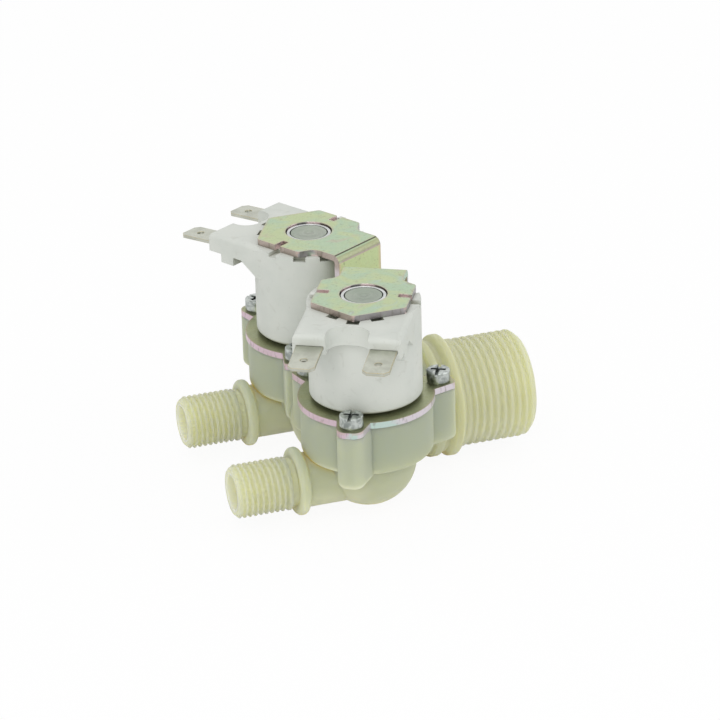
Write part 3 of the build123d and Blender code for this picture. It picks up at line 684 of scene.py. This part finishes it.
    def cut_tint(self, nodes: Nodes, base: Socket) -> Socket:
        """Colour the sheared edges by the way they face, brighter on the base plates: partly the cut metal's
        own colours and partly painted reflection and highlight, lightest on right-facing edges.

        Args:
            nodes: The material's nodes.
            base: Where the base plates are.

        Returns:
            The colour of the cut edges.
        """
        drifts = nodes.noise(self.cut_drift_size, 2.0, 0.8)
        streaks = nodes.noise(self.cut_streak_size, 3.0, 0.0, (1.0, 1.0, 0.3))
        turned = nodes.maths("ADD", nodes.facing(Axis.X), nodes.span(drifts, 0.35, 0.65, -0.12, 0.12))
        mixed = nodes.lay(self.cut_grey, self.mint, drifts, 0.54, 0.66)
        top = nodes.lay(self.cut_brown, mixed, turned, -0.6, -0.3)
        low = nodes.lay(self.cut_lilac, self.cut_cyan, turned, -0.5, -0.35)
        low = nodes.lay(low, self.pale_cut_and_highlight, turned, 0.0, 0.3)
        tint = nodes.lay(nodes.blend(base, top, low), self.speck, streaks, 0.55, 0.7, 0.45)
        # painted shade: cut edges darkened in hollows
        return nodes.lay(tint, self.painted_dark_line, nodes.hollow(2 * MM), 0.3, 0.7, 0.7)

    @staticmethod
    def strap_faces(nodes: Nodes) -> Socket:
        """Find faces that look towards or away from a coil's connector block, as both straps' faces do.

        The blocks point 30 degrees off the Y axis, so the two shares are that angle's sine and cosine.

        Args:
            nodes: The material's nodes.

        Returns:
            1 on such faces, 0 elsewhere.
        """
        turn = math.radians(30)
        across = nodes.times(nodes.maths("ABSOLUTE", nodes.facing(Axis.X)), math.sin(turn))
        along = nodes.times(nodes.maths("ABSOLUTE", nodes.facing(Axis.Y)), math.cos(turn))
        return nodes.span(nodes.maths("ADD", across, along), 0.93, 0.98)


@dataclass(frozen=True)
class WorkedMetal:
    """Bare or plated metal with fine tool marks."""

    name: str
    tint: tuple
    shade: tuple
    roughness: float = 0.28
    patch_size: float = 4 * MM
    mark_size: float = 0.6 * MM
    mark_depth: float = 0.012 * MM
    edge: float = 0.1 * MM
    edge_tint: tuple | None = None
    edge_width: float = 0.25 * MM
    hollow_shade_tint: tuple | None = None
    hollow_shade_reach: float = 1.5 * MM

    def material(self) -> bpy.types.Material:
        """Build the finish."""
        nodes = Nodes(self.name)
        patches = nodes.noise(self.patch_size, 3.0, 0.5)
        marks = nodes.noise(self.mark_size, 3.0)
        tint = nodes.lay(self.tint, self.shade, patches, 0.35, 0.65)
        if self.edge_tint is not None:
            tint = nodes.lay(tint, self.edge_tint, nodes.near_edge(self.edge_width), 0.02, 0.12)
        # painted shade: hollows such as a screw's recess are darkened
        if self.hollow_shade_tint is not None:
            tint = nodes.lay(tint, self.hollow_shade_tint, nodes.hollow(self.hollow_shade_reach), 0.35, 0.8, 0.85)
        normal = nodes.relief(marks, self.mark_depth, nodes.soft_edge(self.edge))
        return nodes.finish(
            Base_Color=tint,
            Metallic=1.0,
            Roughness=nodes.span(marks, 0.3, 0.7, self.roughness - 0.07, self.roughness + 0.07),
            Normal=normal,
        )


@dataclass(frozen=True)
class WoundCopper:
    """Enamelled copper wire in close turns."""

    name: str = "wound_copper"
    tint: tuple = srgb(200, 120, 72)
    gap_tint: tuple = srgb(110, 56, 34)
    wire: float = 0.22 * MM
    wire_depth: float = 0.08 * MM

    def material(self) -> bpy.types.Material:
        """Build the finish."""
        nodes = Nodes(self.name)
        bands = nodes.add("ShaderNodeTexWave", wave_type="BANDS", bands_direction="Z")
        bands.inputs["Scale"].default_value = 1 / self.wire / math.tau
        bands.inputs["Distortion"].default_value = 0.6
        nodes.feed(bands.inputs["Vector"], nodes.place)
        tint = nodes.blend(bands.outputs["Fac"], self.gap_tint, self.tint)
        return nodes.finish(
            Base_Color=tint,
            Metallic=0.7,
            Roughness=0.35,
            Normal=nodes.relief(bands.outputs["Fac"], self.wire_depth),
        )


class Workshop:
    """Bench work on meshes: copies, merging, softened edges and dressing.

    Vertices nearer than WELD merge, and a softened edge is EDGE_FACES wide.
    """

    WELD = 0.002 * MM
    EDGE_FACES = 2

    @staticmethod
    def select_only(piece: Piece) -> None:
        """Make one object the only selected and active one."""
        bpy.ops.object.select_all(action="DESELECT")
        piece.select_set(True)
        bpy.context.view_layer.objects.active = piece

    @staticmethod
    @contextmanager
    def editing(kind: str) -> Iterator[None]:
        """Work on the active piece in edit mode, where VERT, EDGE or FACE is what gets selected."""
        bpy.ops.object.mode_set(mode="EDIT")
        bpy.ops.mesh.select_mode(type=kind)
        yield
        bpy.ops.object.mode_set(mode="OBJECT")

    @staticmethod
    def copy_of(node: str, name: str) -> Piece:
        """Copy a solid of the frame into a new piece with joined faces.

        Args:
            node: Name of the solid.
            name: Name of the new piece.

        Returns:
            The new piece, with its place in its mesh.
        """
        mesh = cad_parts[node].data.copy()
        mesh.name = name
        mesh.materials.clear()
        piece = bpy.data.objects.new(name, mesh)
        bpy.context.scene.collection.objects.link(piece)
        Workshop.select_only(piece)
        if mesh.has_custom_normals:
            bpy.ops.mesh.customdata_custom_splitnormals_clear()
        with Workshop.editing("VERT"):
            bpy.ops.mesh.select_all(action="SELECT")
            bpy.ops.mesh.remove_doubles(threshold=Workshop.WELD)
        return piece

    @staticmethod
    def join_flats(piece: Piece, angle: float) -> None:
        """Dissolve the triangles of flat faces into single faces.

        Args:
            piece: The piece to clean.
            angle: Largest bend that counts as flat, in degrees.
        """
        Workshop.select_only(piece)
        with Workshop.editing("VERT"):
            bpy.ops.mesh.select_all(action="SELECT")
            bpy.ops.mesh.dissolve_limited(angle_limit=math.radians(angle))

    @staticmethod
    def soften(piece: Piece, width: float, angle: float) -> None:
        """Round a piece's sharp edges.

        Args:
            piece: The piece.
            width: Width of the rounding in metres.
            angle: Smallest bend that is rounded, in degrees.
        """
        bevel = piece.modifiers.new("softened_edges", "BEVEL")
        bevel.width = width
        bevel.segments = Workshop.EDGE_FACES
        bevel.limit_method = "ANGLE"
        bevel.angle_limit = math.radians(angle)
        bevel.harden_normals = False
        Workshop.apply(piece, bevel)

    @staticmethod
    def apply(piece: Piece, modifier: bpy.types.Modifier) -> None:
        """Turn a modifier's result into the piece's own mesh."""
        Workshop.select_only(piece)
        bpy.ops.object.modifier_apply(modifier=modifier.name)

    @staticmethod
    def smooth(piece: Piece, angle: float = 35.0) -> None:
        """Shade gentle bends smooth and leave sharp ones crisp."""
        Workshop.select_only(piece)
        bpy.ops.object.shade_smooth_by_angle(angle=math.radians(angle))
        flats = piece.modifiers.new("flat_faces", "WEIGHTED_NORMAL")
        flats.keep_sharp = True
        Workshop.apply(piece, flats)

    @staticmethod
    def paint(piece: Piece, material: bpy.types.Material) -> None:
        """Give a piece one material all over."""
        piece.data.materials.clear()
        piece.data.materials.append(material)

    @staticmethod
    def hand_over(piece: Piece, node: str, slot: str, body: str = "valve") -> None:
        """Let a finished piece stand for its solid of the frame.

        Args:
            piece: The finished piece.
            node: The solid that it stands for.
            slot: The record's material slot; not used.
            body: The body that it rides on.
        """
        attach(piece, body)
        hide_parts(node)
        log.info("%s stands for %s, %d faces", piece.name, node, len(piece.data.polygons))


class RunOut(Enum):
    """The end of a thread that fades into the plain pipe: at its lowest or its highest X."""

    LOW_X = "low"
    HIGH_X = "high"


@dataclass
class PipeThread:
    """A moulded outside thread on a pipe along X, pressed in by one helical mould.

    The groove's middle lies at groove_at on the pipe's top side, and the last turn runs out flat.
    """

    name: str
    axis_y: float
    axis_z: float
    crest_r: float
    pitch: float
    groove_at: float
    turns: int
    depth: float
    run_out: RunOut
    root_flat: float = 0.5 * MM
    crest_flat: float = 0.2 * MM
    rounding: float = 0.2 * MM
    fade: float = 1.0
    steps: int = 84
    sink: float = 0.03 * MM
    cover: float = 0.9 * MM

    def mould(self) -> Piece:
        """Make the mould: a sleeve whose inside is the thread's form.

        Returns:
            The mould, in place round the pipe.
        """
        mould = self.outline()
        screw = mould.modifiers.new("turns", "SCREW")
        screw.axis = "X"
        screw.angle = math.tau
        screw.steps = screw.render_steps = self.steps
        screw.screw_offset = self.pitch
        screw.iterations = self.turns
        Workshop.apply(mould, screw)
        self.fade_out(mould)
        self.close(mould)
        mould.location = (0, self.axis_y, self.axis_z)
        bpy.ops.object.transform_apply(location=True, rotation=False, scale=False)
        log.info("%s has %d vertices", mould.name, len(mould.data.vertices))
        return mould

    def outline(self) -> Piece:
        """Draw one pitch of the thread's section on the pipe's top side, with rounded corners."""
        crest = self.crest_r - self.sink
        root = self.crest_r - self.depth
        crest_edge = (self.pitch - self.crest_flat) / 2
        half = [(self.root_flat / 2, root), (crest_edge, crest), (self.pitch / 2, crest)]
        points = [(-along, radius) for along, radius in reversed(half)] + half
        bpy.ops.object.select_all(action="DESELECT")
        bpy.ops.mesh.primitive_circle_add(vertices=len(points), radius=self.crest_r, fill_type="NOTHING")
        mould = bpy.context.object
        mould.name = self.name + "_mould"
        for vertex, (along, radius) in zip(mould.data.vertices, points):
            vertex.co = (self.groove_at + along, 0, radius)
        with Workshop.editing("EDGE"):
            bpy.ops.mesh.select_all(action="DESELECT")
        for edge in mould.data.edges:
            edge.select = set(edge.vertices) == {0, len(points) - 1}
        with Workshop.editing("EDGE"):
            bpy.ops.mesh.delete(type="EDGE")
        corners = mould.modifiers.new("rounded_corners", "BEVEL")
        corners.affect = "VERTICES"
        corners.width = self.rounding
        corners.segments = 3
        Workshop.apply(mould, corners)
        return mould

    def fade_out(self, mould: Piece) -> None:
        """Lift the mould off the pipe over the stretch where the thread runs out.

        Args:
            mould: The sleeve's inner face.
        """
        places = [vertex.co.x for vertex in mould.data.vertices]
        end = min(places) if self.run_out is RunOut.LOW_X else max(places)
        clear = self.crest_r + 2 * self.sink
        for vertex in mould.data.vertices:
            share = min(1.0, abs(vertex.co.x - end) / (self.fade * self.pitch))
            share *= share * (3 - 2 * share)
            radius = math.hypot(vertex.co.y, vertex.co.z)
            scale = (clear - (clear - radius) * share) / radius
            vertex.co.y *= scale
            vertex.co.z *= scale

    def close(self, mould: Piece) -> None:
        """Join the turns and give the sleeve its round outside.

        Args:
            mould: The sleeve's inner face.
        """
        with Workshop.editing("VERT"):
            bpy.ops.mesh.select_all(action="SELECT")
            bpy.ops.mesh.remove_doubles(threshold=Workshop.WELD / 2)
            bpy.ops.mesh.extrude_region()
        for vertex in mould.data.vertices:
            if vertex.select:
                scale = (self.crest_r + self.cover) / math.hypot(vertex.co.y, vertex.co.z)
                vertex.co.y *= scale
                vertex.co.z *= scale
        with Workshop.editing("VERT"):
            bpy.ops.mesh.select_all(action="SELECT")
            bpy.ops.mesh.normals_make_consistent(inside=False)


@dataclass
class ValveBody:
    """The moulded body: the frame's solid with its three threads formed.

    The outlets' pipes are the nearer ones below parting_x, and the inlet's above it.
    """

    inlet_crest_r: float = 13.1 * MM
    inlet_pitch: float = 1.814 * MM
    inlet_groove: float = -17.072 * MM
    inlet_turns: int = 10
    inlet_depth: float = 0.5 * MM
    outlet_crest_r: float = 6.45 * MM
    outlet_pitch: float = 1.337 * MM
    outlet_groove: float = -80.2 * MM
    outlet_turns: int = 10
    outlet_depth: float = 0.6 * MM
    outlet_y: float = 20.0 * MM
    outlet_z: float = -5.8 * MM
    parting_x: float = -45 * MM

    def build(self) -> Piece:
        """Form the threads on a copy of the solid and dress it.

        Returns:
            The finished body.
        """
        body = Workshop.copy_of("valve_body", "moulded_body")
        for thread in self.threads():
            mould = thread.mould()
            cut = body.modifiers.new(thread.name, "BOOLEAN")
            cut.operation = "DIFFERENCE"
            cut.solver = "EXACT"
            cut.object = mould
            Workshop.apply(body, cut)
            bpy.data.objects.remove(mould)
        Workshop.smooth(body, 38.0)
        Workshop.paint(body, NaturalPlastic().material())
        Workshop.hand_over(body, "valve_body", "body_plastic")
        return body

    def threads(self) -> list[PipeThread]:
        """List the inlet's thread and the two outlets' threads."""
        threads = [
            PipeThread("inlet_thread", 0.0, 0.0, self.inlet_crest_r, self.inlet_pitch, self.inlet_groove,
                       self.inlet_turns, self.inlet_depth, RunOut.LOW_X),
        ]
        for side in Side:
            threads.append(
                PipeThread(f"{side.label}_outlet_thread", side.value * self.outlet_y, self.outlet_z,
                           self.outlet_crest_r, self.outlet_pitch, self.outlet_groove, self.outlet_turns,
                           self.outlet_depth, RunOut.HIGH_X, root_flat=0.4 * MM, crest_flat=0.12 * MM,
                           rounding=0.16 * MM, fade=0.5, steps=64, cover=0.7 * MM)
            )
        return threads


@dataclass
class SolenoidUnit:
    """One solenoid unit: coil, yoke, bushes, tabs, tube and screws, with what they hold inside.

    end_steps are the insets that press the ring and the gate mark into the tube's end, from its rim inwards,
    each with its width and depth.
    """

    side: Side
    finishes: dict[str, bpy.types.Material]
    housing_edge: float = 0.22 * MM
    yoke_edge: float = 0.22 * MM
    tab_edge: float = 0.1 * MM
    screw_edge: float = 0.1 * MM
    bush_edge: float = 0.18 * MM
    tube_edge: float = 0.15 * MM
    plunger_lift: float = 2.4 * MM
    end_steps: tuple[tuple[float, float], ...] = (
        (1.6 * MM, 0.0),
        (0.14 * MM, -0.07 * MM),
        (0.35 * MM, 0.0),
        (0.14 * MM, 0.07 * MM),
        (1.1 * MM, 0.0),
        (0.1 * MM, -0.1 * MM),
    )

    def build(self) -> None:
        """Dress every piece of the unit."""
        outer = (
            ("coil_housing", "overmoulding", self.housing_edge, "coil_plastic", 50.0),
            ("yoke", "folded_sheet", self.yoke_edge, "zinc_plate", 60.0),
            ("terminal_left", "left_tab", self.tab_edge, "tab_metal", 60.0),
            ("terminal_right", "right_tab", self.tab_edge, "tab_metal", 60.0),
            ("upper_sleeve", "rolled_bush", self.bush_edge, "bush_steel", 60.0),
            ("guide_tube", "closed_tube", self.tube_edge, "tube_plastic", 60.0),
            ("screws", "screw_set", self.screw_edge, "screw_steel", 50.0),
        )
        for piece, name, edge, slot, angle in outer:
            self.dress(piece, name, edge, slot, angle)
            if piece == "guide_tube":
                self.ring_end(bpy.data.objects[f"{self.side.label}_{name}"])
        for piece, slot in (
            ("bobbin", "bobbin_plastic"),
            ("winding", "copper_wire"),
            ("lower_sleeve", "bush_steel"),
            ("diaphragm", "seal_rubber"),
            ("plunger", "plunger_steel"),
            ("plunger_seal", "seal_rubber"),
            ("diaphragm_insert", "insert_plastic"),
        ):
            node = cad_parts[f"{self.side.label}_{piece}"]
            Workshop.paint(node, self.finishes[slot])
            log.info("%s keeps its solid", node.name)
        self.fit_spring()

    def fit_spring(self) -> None:
        """Dress a copy of the spring, let it stand for the spring's solid and give it a mesh of its own."""
        node = f"{self.side.label}_spring"
        spring = Workshop.copy_of(node, f"{self.side.label}_return_spring")
        Workshop.smooth(spring)
        Workshop.paint(spring, self.finishes["spring_steel"])
        Workshop.hand_over(spring, node, "spring_steel")
        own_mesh(spring)

    def ring_end(self, tube: Piece) -> None:
        """Press the moulded ring and the gate mark into the tube's closed end."""
        top = max(vertex.co.z for vertex in tube.data.vertices)
        for polygon in tube.data.polygons:
            polygon.select = polygon.normal.z > 0.99 and polygon.center.z > top - 0.01 * MM
        Workshop.select_only(tube)
        with Workshop.editing("FACE"):
            for width, depth in self.end_steps:
                bpy.ops.mesh.inset(thickness=width, depth=depth)

    def dress(self, piece: str, name: str, edge: float, slot: str, angle: float) -> None:
        """Copy one outer solid, round its edges and let it stand for the solid.

        Args:
            piece: The solid's name without the unit's word.
            name: The new piece's name without the unit's word.
            edge: Width of the rounding in metres.
            slot: The record's material slot.
            angle: Smallest bend that is rounded, in degrees.
        """
        node = f"{self.side.label}_{piece}"
        copy = Workshop.copy_of(node, f"{self.side.label}_{name}")
        Workshop.join_flats(copy, 1.0)
        Workshop.soften(copy, edge, angle)
        Workshop.smooth(copy)
        Workshop.paint(copy, self.finishes[slot])
        Workshop.hand_over(copy, node, slot)


@dataclass(frozen=True)
class Lamp:
    """One soft square lamp: its place and the length of its sides in metres, and its power in watts."""

    name: str
    place: tuple[float, float, float]
    size: float
    power: float

    def hang(self, target: Vector) -> None:
        """Add the lamp to the scene, pointing at a target."""
        data = bpy.data.lights.new(self.name, "AREA")
        data.size = self.size
        data.energy = self.power
        lamp = bpy.data.objects.new(self.name, data)
        bpy.context.scene.collection.objects.link(lamp)
        turn = (target - Vector(self.place)).to_track_quat("-Z", "Y").to_matrix().to_4x4()
        lamp.matrix_world = Matrix.Translation(self.place) @ turn


@dataclass
class Studio:
    """Camera at the photograph's place, soft lamps, pale floor and white surroundings."""

    camera_place: tuple[float, float, float] = (-308.74 * MM, -803.02 * MM, 405.67 * MM)
    heading_deg: float = 18.464
    tilt_deg: float = 24.894
    roll_deg: float = -1.588
    lens_mm: float = 195.55
    sensor_mm: float = 36.0
    floor_size: float = 4.0
    floor_tint: tuple = srgb(248, 248, 248)
    floor_white: float = 0.93
    sky_light: float = 0.72
    lamps: tuple[Lamp, ...] = (
        Lamp("key_lamp", (-0.55, -0.85, 0.8), 0.9, 4.4),
        Lamp("fill_lamp", (0.9, -0.55, 0.6), 0.8, 2.0),
        Lamp("top_lamp", (0.0, 0.3, 1.3), 1.0, 1.4),
    )

    def build(self) -> None:
        """Set up camera, lamps, floor, surroundings and view."""
        self.camera()
        low, high = CAD_BOX
        for lamp in self.lamps:
            lamp.hang((low + high) / 2)
        self.floor()
        self.surroundings()
        bpy.context.scene.view_settings.view_transform = "Standard"

    def camera(self) -> None:
        """Place the camera by the heading, tilt and roll fitted to the photograph."""
        heading, tilt, roll = (math.radians(a) for a in (self.heading_deg, self.tilt_deg, self.roll_deg))
        ahead = math.cos(tilt)
        forward = Vector((math.sin(heading) * ahead, math.cos(heading) * ahead, -math.sin(tilt)))
        level = Vector((math.cos(heading), -math.sin(heading), 0))
        upright = level.cross(forward)
        right = math.cos(roll) * level + math.sin(roll) * upright
        up = math.cos(roll) * upright - math.sin(roll) * level
        data = bpy.data.cameras.new("camera")
        data.lens = self.lens_mm
        data.sensor_width = self.sensor_mm
        data.clip_end = 10.0
        camera = bpy.data.objects.new("camera", data)
        bpy.context.scene.collection.objects.link(camera)
        turn = Matrix((right, up, -forward)).transposed().to_4x4()
        camera.matrix_world = Matrix.Translation(self.camera_place) @ turn
        bpy.context.scene.camera = camera

    def floor(self) -> None:
        """Lay the pale floor under the valve's lowest point, keeping a soft shadow."""
        low, high = CAD_BOX
        middle = (low + high) / 2
        bpy.ops.object.select_all(action="DESELECT")
        bpy.ops.mesh.primitive_plane_add(size=self.floor_size, location=(middle.x, middle.y, low.z))
        floor = bpy.context.object
        floor.name = "floor"
        nodes = Nodes("pale_floor")
        nodes.finish(Base_Color=self.floor_tint, Roughness=0.9)
        glow = nodes.add("ShaderNodeEmission")
        glow.inputs["Color"].default_value = (1, 1, 1, 1)
        mix = nodes.add("ShaderNodeMixShader")
        nodes.feed(mix.inputs[0], nodes.times(nodes.seen(), self.floor_white))
        nodes.tree.links.new(nodes.shader.outputs[0], mix.inputs[1])
        nodes.tree.links.new(glow.outputs[0], mix.inputs[2])
        output = nodes.tree.nodes["Material Output"]
        nodes.tree.links.new(mix.outputs[0], output.inputs["Surface"])
        floor.data.materials.append(nodes.material)

    def surroundings(self) -> None:
        """Make the surroundings white to the eye and soft as a light."""
        world = bpy.data.worlds.new("white_room")
        bpy.context.scene.world = world
        world.use_nodes = True
        wiring = Wiring(world.node_tree)
        strength = wiring.add("ShaderNodeMapRange")
        background = wiring.tree.nodes["Background"]
        for socket, value in (
            (strength.inputs["To Min"], self.sky_light),
            (strength.inputs["To Max"], 1.0),
            (strength.inputs["Value"], wiring.seen()),
            (background.inputs["Color"], (1, 1, 1, 1)),
            (background.inputs["Strength"], strength.outputs["Result"]),
        ):
            wiring.feed(socket, value)


def make_finishes() -> dict[str, bpy.types.Material]:
    """Make the finishes of the solenoid units, by the record's material slot.

    Returns:
        Each slot's material.
    """
    finishes = {
        "coil_plastic": MattPlastic("coil_plastic", srgb(210, 213, 206), srgb(204, 208, 201),
                                    smudge=srgb(176, 177, 166), corner_shade_tint=srgb(150, 150, 134)),
        "bobbin_plastic": MattPlastic("bobbin_plastic", srgb(218, 216, 204), srgb(208, 208, 196)),
        "strainer_plastic": MattPlastic("strainer_plastic", srgb(214, 214, 202), srgb(202, 204, 190)),
        "insert_plastic": MattPlastic("insert_plastic", srgb(222, 220, 212), srgb(210, 210, 202)),
        "tube_plastic": MattPlastic("tube_plastic", srgb(158, 166, 152), srgb(148, 158, 144), 0.42),
        "seal_rubber": MattPlastic("seal_rubber", srgb(44, 44, 44), srgb(32, 32, 33), 0.7),
        "zinc_plate": YellowZinc(),
        "tab_metal": WorkedMetal("tinned_tab", srgb(196, 198, 186), srgb(180, 182, 170), 0.4,
                                 edge_tint=srgb(186, 164, 104)),
        "bush_steel": WorkedMetal("rolled_steel", srgb(214, 216, 214), srgb(196, 199, 198), 0.2),
        "plunger_steel": WorkedMetal("ground_steel", srgb(190, 190, 188), srgb(176, 176, 174), 0.24),
        "spring_steel": WorkedMetal("drawn_wire", srgb(196, 196, 194), srgb(170, 170, 168), 0.25),
        "screw_steel": WorkedMetal("blue_zinc", srgb(196, 201, 197), srgb(138, 144, 141), 0.36,
                                   patch_size=1.6 * MM, mark_depth=0.06 * MM,
                                   hollow_shade_tint=srgb(98, 101, 98)),
        "copper_wire": WoundCopper(),
    }
    return {slot: finish.material() for slot, finish in finishes.items()}


def main() -> None:
    """Build and dress the valve, then set up the studio."""
    logging.basicConfig(level=logging.INFO, format="%(message)s")
    finishes = make_finishes()
    ValveBody().build()
    for side in Side:
        SolenoidUnit(side, finishes).build()
    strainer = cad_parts["inlet_strainer"]
    Workshop.paint(strainer, finishes["strainer_plastic"])
    Studio().build()


if __name__ == "__main__":
    main()
